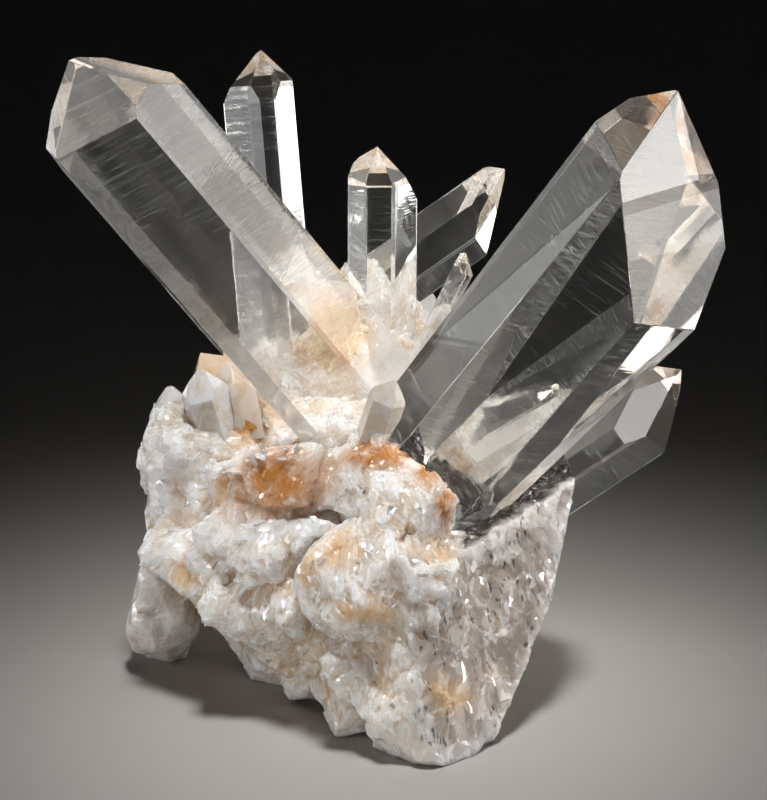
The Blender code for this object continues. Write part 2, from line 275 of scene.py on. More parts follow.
def facet(points, normals, size, strength, limit, tilt, seed):
    """Pull a surface onto one tilted plane for each cell of the given size, in mm, and move
    no point further than the limit."""
    pick = broken_cells(warp(points, 2.0 * size * MM, 0.15 * size * MM, seed + 50),
                        size * MM, seed)
    _, which = np.unique(pick[:, 0], return_inverse=True)
    count = np.bincount(which)

    def averaged(values):
        return np.stack([np.bincount(which, values[:, k]) / count for k in range(3)], axis=1)

    centre, way = averaged(points), averaged(normals)
    way = way[which] + tilt * (pick[:, 1:4] - 0.5)
    way /= np.linalg.norm(way, axis=1)[:, None]
    gap = np.einsum("ij,ij->i", centre[which] - points, way)
    return points + way * np.clip(strength * gap, -limit * MM, limit * MM)[:, None]


def near_spots(points, spots):
    """How near each point is to a list of (centre, radii) in mm: 1 inside, 0 outside."""
    best = np.zeros(len(points))
    for centre, radii in spots:
        away = np.linalg.norm((points / MM - centre) / radii, axis=1)
        best = np.maximum(best, np.clip(1.6 - 1.2 * away, 0.0, 1.0))
    return best


# Clear crystals

def crystal_bmesh(spec):
    """A quartz crystal along +Z with its root end at z = 0, in metres."""
    bm = bmesh.new()
    bmesh.ops.create_cube(bm, size=4.0 * spec["reach"] * MM)
    slice_off(bm, (0, 0, 0), (0, 0, -1))
    tip = math.radians(POINT_ANGLE)
    for k in range(6):
        a = math.radians(spec["roll"] + 60 * k)
        t = math.radians(spec.get("taper", STRAIGHT)[k])
        ca, sa = math.cos(a), math.sin(a)
        side = spec["sides"][k]
        slice_off(bm, Vector((side * ca, side * sa, spec["reach"])) * MM,
                  (math.cos(t) * ca, math.cos(t) * sa, math.sin(t)))
        slice_off(bm, Vector((0, 0, spec["tips"][k])) * MM,
                  (math.sin(tip) * ca, math.sin(tip) * sa, math.cos(tip)))
    bmesh.ops.remove_doubles(bm, verts=bm.verts, dist=WELD)
    bmesh.ops.recalc_face_normals(bm, faces=bm.faces)
    return bm


def crystal_frame(spec):
    """Where a crystal's own axes lie: its root end at the origin, and +Z along it."""
    turn = Euler((0, math.radians(spec["lean"]), math.radians(spec["turn"])))
    place = turn.to_matrix().to_4x4()
    place.translation = Vector(spec["root"]) * MM
    return place


# what each face of a clear crystal says to its material, as growth_map tells
FACE_MARKS = ("side", "haze", "fade", "band")


def growth_map(bm, spec):
    """UV in centimetres: U runs round the crystal, V along it. On each face, 'side' is 1 off
    the point, 'haze' is how thick the veils are at the root, 'fade' is 1 over their reach
    in centimetres, and a white band of painted highlight lies where U is less than 'band'."""
    thick, reach = spec["haze"]
    uv = bm.loops.layers.uv.new("growth")
    for kind in FACE_MARKS:
        bm.faces.layers.float.new(kind)
    side, haze, fade, band = (bm.faces.layers.float[kind] for kind in FACE_MARKS)
    for face in bm.faces:
        n = face.normal
        across = Vector((-n.y, n.x, 0.0))
        if across.length < 1e-4:
            across = Vector((1.0, 0.0, 0.0))
        across.normalize()
        turn = math.degrees(math.atan2(n.y, n.x)) - spec["roll"]
        # the faces of the point lean in far more than any side
        face[side] = 1.0 if abs(n.z) < 0.35 else 0.0
        which = round(turn / 60.0) % 6
        face[haze] = thick[which]
        # painted highlight: where the white band along an edge of this side begins
        face[band] = spec.get("highlight_bands", {}).get(which, -100.0) / 10.0
        face[fade] = 10.0 / reach
        for loop in face.loops:
            co = loop.vert.co
            loop[uv].uv = (co.dot(across) * 100.0, co.z * 100.0)


def growth_lines(tree, growth):
    """Growth lines 0.5 mm apart, the patches where they are strong, and how high they stand
    with stronger steps 3 mm apart."""
    heights = []
    for across, along, detail in ((0.6, 20.0, 3.0), (0.25, 3.2, 2.0), (0.9, 1.1, 2.0)):
        lines = add_node(tree, "ShaderNodeMapping", inputs={"Scale": (across, along, 1.0)},
                         links={"Vector": growth})
        heights.append(add_node(tree, "ShaderNodeTexNoise", {"noise_dimensions": "2D"},
                                {"Scale": 1.0, "Detail": detail, "Roughness": 0.6},
                                {"Vector": lines.outputs["Vector"]}).outputs["Fac"])
    fine, steps, patch = heights
    steps = add_node(tree, "ShaderNodeMapRange", {"interpolation_type": "STEPPED"},
                     {"From Min": 0.25, "From Max": 0.75, "Steps": 9.0}, {"Value": steps})
    patch = add_node(tree, "ShaderNodeMapRange", inputs={
        "From Min": 0.48, "From Max": 0.62, "To Min": 0.04, "To Max": 0.5},
        links={"Value": patch}).outputs["Result"]
    height = add_node(tree, "ShaderNodeMath", {"operation": "MULTIPLY_ADD"},
                      links={0: fine, 1: patch, 2: steps.outputs["Result"]})
    return fine, patch, height.outputs["Value"]


def root_veils(tree, along, haze, fade, wisps):
    """White veils that thicken towards the root."""
    gone = add_node(tree, "ShaderNodeMath", {"operation": "MULTIPLY"}, links={0: along, 1: fade})
    left = add_node(tree, "ShaderNodeMath", {"operation": "SUBTRACT"}, {0: 1.0},
                    {1: gone.outputs["Value"]})
    veil = add_node(tree, "ShaderNodeMath", {"operation": "MULTIPLY_ADD"},
                    links={0: left.outputs["Value"], 1: haze, 2: wisps})
    return add_node(tree, "ShaderNodeMapRange", inputs={
        "From Min": 0.86, "From Max": 1.25, "To Max": 0.55},
        links={"Value": veil.outputs["Value"]}).outputs["Result"]


def dust_and_painted_sheen(tree, fine, patch):
    """A faint dusting all along, and painted sheen: whiter on the growth lines in places, where
    their steps would catch the light.
    """
    painted_line_sheen = add_node(tree, "ShaderNodeMapRange", inputs={
        "From Min": 0.56, "From Max": 0.70, "To Max": 0.3}, links={"Value": fine})
    return add_node(tree, "ShaderNodeMath", {"operation": "MULTIPLY_ADD"}, {2: 0.015},
                    {0: painted_line_sheen.outputs["Result"], 1: patch}).outputs["Value"]


def painted_highlight_band(tree, across, band, side, wisps):
    """A patchy white band painted along an edge of a side, as a highlight."""
    inside = add_node(tree, "ShaderNodeMath", {"operation": "SUBTRACT"},
                      links={0: band, 1: across})
    inside = add_node(tree, "ShaderNodeMapRange", inputs={"From Max": 0.03},
                      links={"Value": inside.outputs["Value"]})
    patchy = add_node(tree, "ShaderNodeMapRange", inputs={
        "From Min": 0.35, "From Max": 0.65, "To Min": 0.35, "To Max": 0.85},
        links={"Value": wisps})
    inside = add_node(tree, "ShaderNodeMath", {"operation": "MULTIPLY"}, links={
        0: inside.outputs["Result"], 1: patchy.outputs["Result"]})
    return add_node(tree, "ShaderNodeMath", {"operation": "MULTIPLY"},
                    links={0: inside.outputs["Value"], 1: side}).outputs["Value"]


def rusty_cloud(tree, place, wisps):
    """The rusty cloud, about 14 mm across, at the left crystal's root."""
    away = add_node(tree, "ShaderNodeVectorMath", {"operation": "DISTANCE"},
                    {1: Vector(RUSTY_VEIL) * MM}, {0: place})
    near = add_node(tree, "ShaderNodeMath", {"operation": "MULTIPLY_ADD"}, {1: -110.0},
                    {0: away.outputs["Value"], 2: wisps})
    return add_node(tree, "ShaderNodeMapRange", inputs={"From Min": -0.55, "From Max": -0.05},
                    links={"Value": near.outputs["Value"]}).outputs["Result"]


def clear_quartz(props):
    """Clear rock crystal, grown in open water: glassy, with fine growth lines and steps
    across the sides that catch the light, cream-tinted points, and white veils at the
    roots, rusty in one place. Painted sheen whitens the growth lines in patches, and a painted
    highlight lies as a white band along an edge."""
    mat, tree, shader = new_material("clear_rock_crystal")
    shader.inputs["IOR"].default_value = QUARTZ_IOR
    shader.inputs["Roughness"].default_value = 0.0
    growth = add_node(tree, "ShaderNodeUVMap", {"uv_map": "growth"}).outputs["UV"]
    place = add_node(tree, "ShaderNodeTexCoord").outputs["Object"]
    side, haze, fade, band = (
        add_node(tree, "ShaderNodeAttribute", {"attribute_name": kind}).outputs["Fac"]
        for kind in FACE_MARKS)
    fine, patch, height = growth_lines(tree, growth)
    height = add_node(tree, "ShaderNodeMath", {"operation": "MULTIPLY"},
                      links={0: height, 1: side})
    bump = add_node(tree, "ShaderNodeBump",
                    inputs={"Strength": 1.0, "Distance": props.growth_relief},
                    links={"Height": height.outputs["Value"]})
    tree.links.new(bump.outputs["Normal"], shader.inputs["Normal"])
    # where it is veiled it lets less light through
    wisps = add_node(tree, "ShaderNodeTexNoise", inputs={
        "Scale": 1.0 / (4.35 * MM), "Detail": 8.0, "Roughness": 0.72, "Distortion": 1.8},
        links={"Vector": place}).outputs["Fac"]
    flat = add_node(tree, "ShaderNodeSeparateXYZ", links={"Vector": growth})
    veil = root_veils(tree, flat.outputs["Y"], haze, fade, wisps)
    # add the dusting with its painted sheen on growth lines, and the painted highlight band along
    # an edge
    for more in (dust_and_painted_sheen(tree, fine, patch),
                 painted_highlight_band(tree, flat.outputs["X"], band, side, wisps)):
        veil = add_node(tree, "ShaderNodeMath", {"operation": "ADD"},
                        links={0: veil, 1: more}).outputs["Value"]
    clear = add_node(tree, "ShaderNodeMath", {"operation": "SUBTRACT"}, {0: 1.0}, {1: veil})
    tree.links.new(clear.outputs["Value"], shader.inputs["Transmission Weight"])
    # white veils on clear quartz, which also colour the painted sheen and the painted highlight
    # band, both rusty in the cloud
    rusty = rusty_cloud(tree, place, wisps)
    white = add_node(tree, "ShaderNodeMix", {"data_type": "RGBA"},
                     {UNDER: props.veil_colour, OVER: props.rust_colour}, {FACTOR: rusty})
    tint = add_node(tree, "ShaderNodeMix", {"data_type": "RGBA"},
                    {UNDER: props.tip_colour, OVER: props.clear_colour}, {FACTOR: side})
    tint = add_node(tree, "ShaderNodeMix", {"data_type": "RGBA"}, {OVER: props.amber_colour},
                    {FACTOR: rusty, UNDER: tint.outputs[MIXED]})
    colour = add_node(tree, "ShaderNodeMix", {"data_type": "RGBA"}, links={
        FACTOR: veil, UNDER: tint.outputs[MIXED], OVER: white.outputs[MIXED]})
    tree.links.new(colour.outputs[MIXED], shader.inputs["Base Color"])
    return mat


# Milky lump

# Small stubby points on the lump, as the solids have them: root, lean, turn, roll, radius,
# length, in millimetres and degrees, the number that draws their sides, and how stained
STUBS = (
    ((-27.0, -2.5, 38.5), 16, -177, 20, 4.0, 13.0, 300, 0.0),
    ((-25.0, 5.5, 39.5), 24, 177, 5, 6.0, 12.5, 301, 0.75),
    ((-24.0, 0.5, 38.5), 14, 140, 40, 4.6, 12.0, 302, 0.35),
    ((-35.0, 0.5, 38.0), 13, 128, 10, 2.2, 8.5, 303, 0.0),
    ((-1.5, -14.5, 44.0), 18, -20, 30, 3.0, 10.5, 304, 0.2),
    ((3.5, 9.0, 45.0), 29, 16, 15, 1.5, 15.0, 305, 0.0),
    ((-22.0, 33.0, 38.0), 52, 118, 0, 3.6, 14.0, 306, 0.2),
    ((4.0, 37.0, 40.0), 48, 75, 25, 4.2, 15.0, 307, 0.0),
    ((17.0, 24.0, 17.0), 62, 42, 35, 3.8, 13.0, 309, 0.3),
    ((-31.0, 15.0, 25.0), 62, 138, 20, 3.0, 11.0, 310, 0.5),
)
# the flat sheared face at the lower right
SLAB_NORMAL = Vector((0.62, -0.70, 0.35)).normalized()
SLAB_POINT = Vector((10.7, -47.0, 0.0))
# the flat that the thick right-hand crystals stand on
SEAT_NORMAL = Vector((-0.24, 0.0, 0.97)).normalized()
SEAT_POINT = Vector((19.8, 2.2, 32.2))
FAN_MIDDLE = Vector((-2.0, -8.0, 48.0))  # where the splinters of the lump fan out from, mm
SPLINTER_WIDTH = 3.0  # mm
# the small plates and the thin blades lie away from these places, mm
PLATE_MIDDLE, BLADE_MIDDLE = Vector((-2.0, 0.0, 22.0)), Vector((-2.0, 0.0, 12.0))
OUTSIDE = 0.1  # a ray cast at the lump starts this far from it, in metres

# Places on the lump, in millimetres: centre and reach. First, where it is rusty
STAIN_SPOTS = (
    ((-17.0, -19.5, 38.6), (9.5, 6.0, 5.2)),
    ((-1.0, -19.5, 43.5), (8.0, 3.5, 2.0)),
    ((7.6, -23.2, 41.0), (3.0, 3.5, 2.6)),
    ((10.0, -28.0, 37.5), (2.2, 3.0, 4.0)),
    ((-22.6, -2.5, 43.0), (3.4, 4.0, 4.6)),
    ((-20.0, 38.0, 22.0), (6.0, 5.0, 5.0)),
    ((12.0, 28.0, 26.0), (6.0, 5.0, 4.0)),
    ((-36.0, 16.0, 16.0), (4.0, 6.0, 4.0)),
)
# where iron has stained it faintly
AMBER_SPOTS = (
    ((-7.0, -32.5, 31.5), (3.0, 4.0, 5.0)),
    ((-12.7, -33.4, 28.5), (2.6, 3.0, 3.6)),
    ((-32.8, -20.0, 22.1), (4.0, 3.5, 2.2)),
    ((-25.0, -14.0, 34.5), (3.0, 4.0, 4.0)),
    ((-3.8, -41.5, 24.0), (6.5, 3.0, 1.8)),
    ((10.0, -33.0, 31.0), (3.0, 3.0, 2.5)),
    ((12.0, -43.0, 11.0), (5.0, 4.0, 3.5)),
)
# where it is whitest
WHITE_SPOTS = (
    ((-34.0, -8.0, 34.0), (7.0, 9.0, 9.0)),
    ((-28.0, -18.0, 27.0), (8.0, 7.0, 5.0)),
    ((-12.0, -4.0, 44.0), (9.0, 6.0, 5.0)),
    ((9.5, -36.0, 26.0), (3.0, 5.0, 7.0)),
    ((-14.0, -25.0, 33.0), (10.0, 5.0, 3.0)),
)
# where it is clearer and grey-brown
SMOKY_SPOTS = (
    ((-38.5, -10.0, 9.0), (8.0, 9.0, 12.0)),
    ((17.0, -27.0, 29.0), (5.0, 6.0, 5.0)),
    ((20.0, -24.0, 22.0), (5.0, 5.0, 4.0)),
    ((13.5, -32.0, 22.0), (4.0, 4.5, 4.5)),
)
# where it is broken least: the boss, the large rusty plate and the knob at the left
CALM_SPOTS = (
    ((0.0, -40.0, 27.0), (9.0, 9.0, 8.0)),
    ((-16.2, -19.5, 38.5), (8.0, 7.0, 5.0)),
    ((-38.5, -10.0, 9.0), (8.0, 9.0, 12.0)),
)
# The lump's marked places, as attributes that its material reads; 'deep' is where shade is
# painted under the thick right-hand crystal
MARKS = ("hollow", "stain", "amber", "white", "smoky", "slab", "deep")
# The grains in the lump's colours: what each is for, its size in mm, its detail and
# roughness, and whether it lies at random or fans out with the splinters
GRAINS = (
    ("clouds", 9.0, 4.0, 0.6, "place"),
    ("streaks", 0.6, 3.0, 0.6, "fan"),
    ("patches", 3.0, 5.0, 0.6, "place"),
    ("smoke", 5.0, 4.0, 0.6, "place"),
    ("rust", 3.3, 4.0, 0.6, "place"),
    ("dark", 4.0, 6.0, 0.6, "place"),
    ("gapped", 6.0, 4.0, 0.6, "place"),
    ("speckled", 6.0, 6.0, 0.7, "place"),
    ("specks", 0.5, 0.0, 0.5, "place"),
    ("flashing", 7.0, 4.0, 0.6, "place"),
)
# The coats of colour over the lump's clouds, the last one on top: the setting that gives the
# colour, the most that shows of it, and what it depends on, with the range from none to all.
# That is a mark, a grain, or a value that milky_quartz takes from its splinters and gaps.
COATS = (
    # each splinter is a little whiter, browner or greyer than the next, with streaks
    ("white_colour", 0.7, ("whiter", 0.4, 1.0)),
    ("seep_colour", 0.3, ("browner", 0.5, 1.0)),
    ("grey_colour", 0.45, ("greyer", 0.5, 1.0)),
    ("seep_colour", 0.55, ("streaks", 0.50, 0.36)),
    ("bright_colour", 0.8, ("streaks", 0.54, 0.66)),
    ("slab_colour", 0.85, ("slab", 0.0, 1.0)),
    ("white_colour", 0.6, ("white", 0.0, 1.0)),
    # clearer patches let the dark inside show
    ("grey_colour", 0.45, ("patches", 0.52, 0.75)),
    ("smoky_colour", 1.0, ("smoky", 0.0, 1.0), ("smoke", 0.25, 0.65)),
    # tan in the hollows and whiter edges, then a faint amber and rust in marked places
    ("seep_colour", 0.6, ("hollow", 0.1, 1.0)),
    ("white_colour", 0.4, ("hollow", -0.3, -1.0)),
    ("amber_colour", 0.8, ("amber", 0.0, 1.0), ("rust", 0.20, 0.42)),
    ("rust_colour", 1.0, ("stain", 0.0, 1.0), ("rust", 0.20, 0.42)),
    # painted shade: under the thick right-hand crystals the lump is painted dark, with pale
    # wisps, in place of the shade there
    ("painted_shade_colour", 1.0, ("deep", 0.0, 1.0), ("dark", 0.78, 0.62)),
    # white cracks, painted shade in short gaps on the sheared face and in clusters of specks, and
    # the flashes
    ("bright_colour", 1.0, ("crack", 0.04, 0.0), ("patches", 0.48, 0.62),
     ("slab", 0.8, 0.1), ("stain", 0.8, 0.1), ("deep", 0.8, 0.1)),
    ("gap_shade_colour", 0.9, ("gap", 0.55, 0.3), ("chosen", 0.72, 0.76), ("gapped", 0.44, 0.54),
     ("slab", 0.2, 0.8)),
    ("gap_shade_colour", 0.35, ("specks", 0.60, 0.70), ("speckled", 0.56, 0.62)),
    ("bright_colour", 1.0, ("flash", 0.0, 1.0)),
)
# How the lump breaks, coarse to fine: size of the flats in mm, how flat, furthest move in
# mm, how far they tilt at random, and seed
BREAKS = (
    (5.5, 0.85, 0.8, 0.25, 11),
    (2.6, 0.8, 0.35, 0.35, 23),
)
# Large broken plates: middle, outward, long way, length, width and thickness, in mm
PLATES = (
    ((-17.0, -19.3, 39.0), (-0.10, -0.80, 0.60), (1.0, 0.0, 0.1), (17.0, 10.5, 4.0)),
    ((6.6, -24.0, 40.0), (0.45, -0.60, 0.66), (0.49, -0.75, -0.45), (13.0, 3.6, 3.0)),
    ((-1.5, -19.6, 42.4), (0.0, -0.70, 0.70), (1.0, -0.05, 0.0), (13.0, 3.0, 3.0)),
    ((-25.0, -13.0, 34.5), (-0.20, -0.85, 0.50), (0.3, 0.1, -1.0), (11.0, 7.0, 3.0)),
    ((-34.0, -5.0, 35.5), (-0.35, -0.85, 0.35), (-1.0, 0.1, -0.15), (13.0, 11.0, 4.0)),
    ((-32.8, -8.0, 29.5), (-0.20, -0.80, 0.55), (-1.0, 0.0, -0.5), (13.0, 4.5, 3.0)),
    ((-31.8, -13.0, 26.0), (-0.30, -0.85, 0.30), (-1.0, 0.0, -0.25), (13.0, 7.0, 4.0)),
    ((-29.5, -21.0, 23.5), (-0.40, -0.80, 0.35), (0.5, 0.0, -1.0), (6.0, 4.0, 3.0)),
    ((-25.0, -25.5, 20.5), (-0.30, -0.85, 0.30), (-1.0, 0.0, -0.3), (11.5, 7.0, 4.0)),
    ((-20.0, -26.0, 25.5), (-0.25, -0.85, 0.45), (-1.0, -0.1, -0.5), (13.0, 4.0, 3.0)),
    ((-14.0, -24.0, 31.5), (0.10, -0.80, 0.60), (1.0, 0.0, 0.25), (13.0, 4.0, 3.0)),
    ((-9.0, -33.5, 21.0), (-0.35, -0.85, 0.15), (0.4, 0.0, -1.0), (11.0, 6.0, 4.0)),
    ((9.0, -36.0, 25.0), (0.15, -0.90, 0.30), (0.1, 0.1, 1.0), (12.0, 4.0, 3.0)),
    ((-5.5, -39.0, 12.5), (-0.20, -0.90, 0.30), (0.5, 0.0, -1.0), (9.0, 7.0, 4.0)),
)
# Where the thin blades stand: middle and spread, in mm
FLAKE_SPOTS = (
    ((-14.0, 0.0, 42.0), (7.0, 4.0, 4.0)),
    ((-6.0, -6.0, 43.0), (5.0, 4.0, 3.0)),
    ((-16.0, -17.0, 42.5), (8.0, 4.0, 2.0)),
    ((-23.0, -16.0, 38.0), (3.0, 4.0, 5.0)),
    ((-14.0, -24.0, 34.0), (9.0, 4.0, 2.5)),
    ((9.0, -30.0, 33.0), (4.0, 4.0, 5.0)),
    ((9.0, -37.0, 25.0), (3.0, 5.0, 7.0)),
    ((-10.0, -33.0, 30.0), (6.0, 4.0, 4.0)),
    ((-35.0, -8.0, 34.0), (5.0, 7.0, 9.0)),
    ((-32.0, -17.0, 25.0), (6.0, 6.0, 5.0)),
    ((2.0, 14.0, 48.0), (6.0, 6.0, 4.0)),
)


def splinter(rng, length, width, thick, cuts=5):
    """A broken sliver of quartz: a thin block with its corners knocked off."""
    bm = bmesh.new()
    bmesh.ops.create_cube(bm, size=1.0)
    bmesh.ops.scale(bm, verts=bm.verts, vec=(length, width, thick))
    for _ in range(cuts):
        n = Vector((rng.gauss(0, 1), rng.gauss(0, 1), rng.gauss(0, 0.35))).normalized()
        reach = 0.5 * math.sqrt((n.x * length) ** 2 + (n.y * width) ** 2 + (n.z * thick) ** 2)
        slice_off(bm, n * reach * rng.uniform(0.5, 0.95), n)
    return bm


def lie(bm, spot, outward, along):
    """Turn a bmesh so that X runs along and Z points outward, at the given spot."""
    across = Vector(outward).cross(Vector(along)).normalized()
    third = Vector(along).normalized().cross(across)
    place = Matrix((Vector(along).normalized(), across, third)).transposed().to_4x4()
    place.translation = spot
    bm.transform(place)


def add_into(whole, bm):
    """Move a bmesh's faces into another one."""
    mesh = bpy.data.meshes.new("part")
    bm.to_mesh(mesh)
    bm.free()
    whole.from_mesh(mesh)
    bpy.data.meshes.remove(mesh)


def stub_cover(points):
    """1 on the small stubby points, 0 off them."""
    cover = np.zeros(len(points))
    for root, lean, turn, _, radius, length, _, _ in STUBS:
        axis = Euler((0, math.radians(lean), math.radians(turn))).to_matrix() @ Vector((0, 0, 1))
        rel = points / MM - root
        along = rel @ np.array(axis)
        off = np.linalg.norm(rel - along[:, None] * np.array(axis), axis=1)
        inside = (along > 3.0) & (along < length + 3.0) & (off < radius * 1.25)
        cover = np.maximum(cover, inside * np.clip((along - 3.0) / 3.0, 0.0, 1.0))
    return cover


def surface_points(bm):
    """The vertices' places and normals, in metres."""
    bm.normal_update()
    return np.array([v.co for v in bm.verts]), np.array([v.normal for v in bm.verts])


def cast_at(rng, tree):
    """A random place on the lump that can hold a plate, seen from outside, and its normal;
    no place if the throw misses."""
    middle = Vector((rng.uniform(-34, 12), rng.uniform(-26, 28), rng.uniform(8, 42))) * MM
    away = Vector((rng.gauss(0, 1), rng.gauss(-0.3, 1), rng.gauss(0.3, 0.8))).normalized()
    spot, normal, _, _ = tree.ray_cast(middle + away * OUTSIDE, -away)
    if spot is None or normal.z < -0.5 or spot.z < 4.0 * MM:
        return None, None
    return spot, normal


def flat_cover(points, point, normal):
    """1 on a flat through the given point, in mm, and 0 off it."""
    off = np.abs((points / MM - point) @ np.array(normal))
    return 1.0 - np.clip(off / 1.6, 0.0, 1.0)


def inside_crystal(points, name):
    """1 on the walls and floor of the pocket that holds a crystal, 0 elsewhere."""
    spec = CRYSTALS[name]
    place = crystal_frame(spec).inverted()
    local = (points @ np.array(place.to_3x3()).T + np.array(place.translation)) / MM
    turns = np.radians(spec["roll"] + 60.0 * np.arange(6))
    out = local[:, :2] @ np.array([np.cos(turns), np.sin(turns)]) - spec["sides"]
    return ((out.max(axis=1) < 1.2) & (local[:, 2] > -1.0)).astype(float)


def painted_shade_cover(points):
    """1 where shade is painted on the lump, under the thick right-hand crystal, 0 elsewhere."""
    seat = flat_cover(points, SEAT_POINT, SEAT_NORMAL)
    seat *= (points[:, 0] > 13.0 * MM) & (points[:, 1] < 8.0 * MM)
    pocket = inside_crystal(points, "crystal_right")
    off_slab = 1.0 - flat_cover(points, SLAB_POINT, SLAB_NORMAL)
    return np.maximum(pocket, np.clip(2.0 * seat, 0.0, 1.0)) * off_slab


def break_surface(bm):
    """Break the smooth lump into flats, calmer where the real one is."""
    co, no = surface_points(bm)
    stub = stub_cover(co)
    calm = np.clip(1.0 - 0.8 * near_spots(co, CALM_SPOTS)
                   - 0.6 * flat_cover(co, SLAB_POINT, SLAB_NORMAL), 0.15, 1.0)
    calm *= (1.0 - stub) * np.clip(co[:, 2] / MM / 2.0 - 0.2, 0.0, 1.0)
    for size, strength, limit, tilt, seed in BREAKS:
        flat = facet(co, no, size, strength, limit, tilt, seed)
        co = co + (flat - co) * calm[:, None]
    co = np.clip(co - no * (0.8 * MM * stub)[:, None], CAD_BOX[0], CAD_BOX[1])
    for v, p in zip(bm.verts, co):
        v.co = p


def mark_surface(bm):
    """Mark the lump's hollows and coloured places, vertex by vertex."""
    for kind in MARKS:
        bm.verts.layers.float.new(kind)
    co, no = surface_points(bm)
    # hollows: how far each vertex lies below the average of its neighbourhood
    bm.verts.index_update()
    ends = np.array([[v.index for v in e.verts] for e in bm.edges])
    count = np.bincount(ends.ravel(), minlength=len(co))[:, None]
    flat = co.copy()
    for _ in range(14):
        total = np.zeros_like(flat)
        np.add.at(total, ends[:, 0], flat[ends[:, 1]])
        np.add.at(total, ends[:, 1], flat[ends[:, 0]])
        flat = total / count
    depth = np.einsum("ij,ij->i", flat - co, no) / MM
    loose = warp(co, 4.0 * MM, 1.2 * MM, 71)
    marks = (np.clip(depth / 0.6, -1.0, 1.0), near_spots(loose, STAIN_SPOTS),
             near_spots(loose, AMBER_SPOTS), near_spots(loose, WHITE_SPOTS),
             near_spots(loose, SMOKY_SPOTS), flat_cover(co, SLAB_POINT, SLAB_NORMAL),
             painted_shade_cover(co))
    for kind, values in zip(MARKS, marks):
        layer = bm.verts.layers.float[kind]
        for v, value in zip(bm.verts, values):
            v[layer] = value


def shard_tilt(tree, place, size, tilt, normal):
    """Tilt a normal a different way on each broken shard about the given size across, in mm.
    Returns the tilted normal and the shards' random colours."""
    shards = add_node(tree, "ShaderNodeTexVoronoi", inputs={"Scale": 1.0 / (size * MM)},
                      links={"Vector": place})
    way = add_node(tree, "ShaderNodeVectorMath", {"operation": "SUBTRACT"},
                   {1: (0.5, 0.5, 0.5)}, {0: shards.outputs["Color"]})
    tilted = add_node(tree, "ShaderNodeVectorMath", {"operation": "MULTIPLY_ADD"},
                      {1: (tilt, tilt, tilt)}, {0: way.outputs["Vector"], 2: normal})
    return tilted.outputs["Vector"], shards.outputs["Color"]


def mask(tree, values, most, *places):
    """How strongly a layer shows: the product of some of the values, each run from 0 to 1
    over its own range, and at most the given number."""
    shown = None
    for name, low, high in places:
        part = add_node(tree, "ShaderNodeMapRange", inputs={
            "From Min": low, "From Max": high, "To Max": most if shown is None else 1.0},
            links={"Value": values[name]}).outputs["Result"]
        shown = part if shown is None else add_node(
            tree, "ShaderNodeMath", {"operation": "MULTIPLY"},
            links={0: shown, 1: part}).outputs["Value"]
    return shown


def fan_out(tree, place):
    """Two ways to lay a pattern on the lump: bent a little, and fanning out from the
    crystals' roots. On the second, what is round is 5 times as long as wide, and true to
    size about 35 mm from the middle."""
    wobble = add_node(tree, "ShaderNodeTexNoise", inputs={
        "Scale": 1.0 / (4.55 * MM), "Detail": 2.0}, links={"Vector": place})
    bent = add_node(tree, "ShaderNodeVectorMath", {"operation": "MULTIPLY_ADD"},
                    {1: (4.0 * MM, 4.0 * MM, 4.0 * MM)},
                    {0: wobble.outputs["Color"], 2: place}).outputs["Vector"]
    away = add_node(tree, "ShaderNodeVectorMath", {"operation": "SUBTRACT"},
                    {1: FAN_MIDDLE * MM}, {0: bent}).outputs["Vector"]
    far = add_node(tree, "ShaderNodeVectorMath", {"operation": "LENGTH"}, links={0: away})
    shrink = add_node(tree, "ShaderNodeMath", {"operation": "DIVIDE"}, {0: 28.0 * MM},
                      {1: far.outputs["Value"]})
    shrink = add_node(tree, "ShaderNodeMath", {"operation": "ADD"}, {1: 0.2},
                      {0: shrink.outputs["Value"]})
    fan = add_node(tree, "ShaderNodeVectorMath", {"operation": "SCALE"},
                   links={0: away, "Scale": shrink.outputs["Value"]})
    return bent, fan.outputs["Vector"]


def broken_normal(tree, bent, fan):
    """The normal of splinters 3 mm wide, shards 2 mm across and splinters 0.8 mm wide, and
    three random numbers for each wide and for each fine splinter."""
    normal = add_node(tree, "ShaderNodeNewGeometry").outputs["Normal"]
    normal, wide = shard_tilt(tree, fan, SPLINTER_WIDTH, 0.30, normal)
    normal, _ = shard_tilt(tree, bent, 2.2, 0.35, normal)
    normal, fine = shard_tilt(tree, fan, 0.8, 0.40, normal)
    normal = add_node(tree, "ShaderNodeVectorMath", {"operation": "NORMALIZE"},
                      links={0: normal})
    wide, fine = (add_node(tree, "ShaderNodeSeparateColor", links={"Color": source}).outputs
                  for source in (wide, fine))
    return normal.outputs["Vector"], wide, fine


def painted_shade_gaps(tree, bent):
    """Gaps 0.6 mm wide and 3 mm long that slant up to the right, painted with shade: how far
    it is to the middle of the nearest, and a random number for each."""
    width, length = 0.625, 3.03
    slant = add_node(tree, "ShaderNodeMapping", inputs={
        "Rotation": (0.35, 0.55, 0.2),
        "Scale": (1.0 / (width * MM), 1.0 / (width * MM), 1.0 / (length * MM))},
        links={"Vector": bent})
    gaps = add_node(tree, "ShaderNodeTexVoronoi", inputs={"Scale": 1.0},
                    links={"Vector": slant.outputs["Vector"]})
    chance = add_node(tree, "ShaderNodeSeparateColor", links={"Color": gaps.outputs["Color"]})
    return gaps.outputs["Distance"], chance.outputs["Red"]


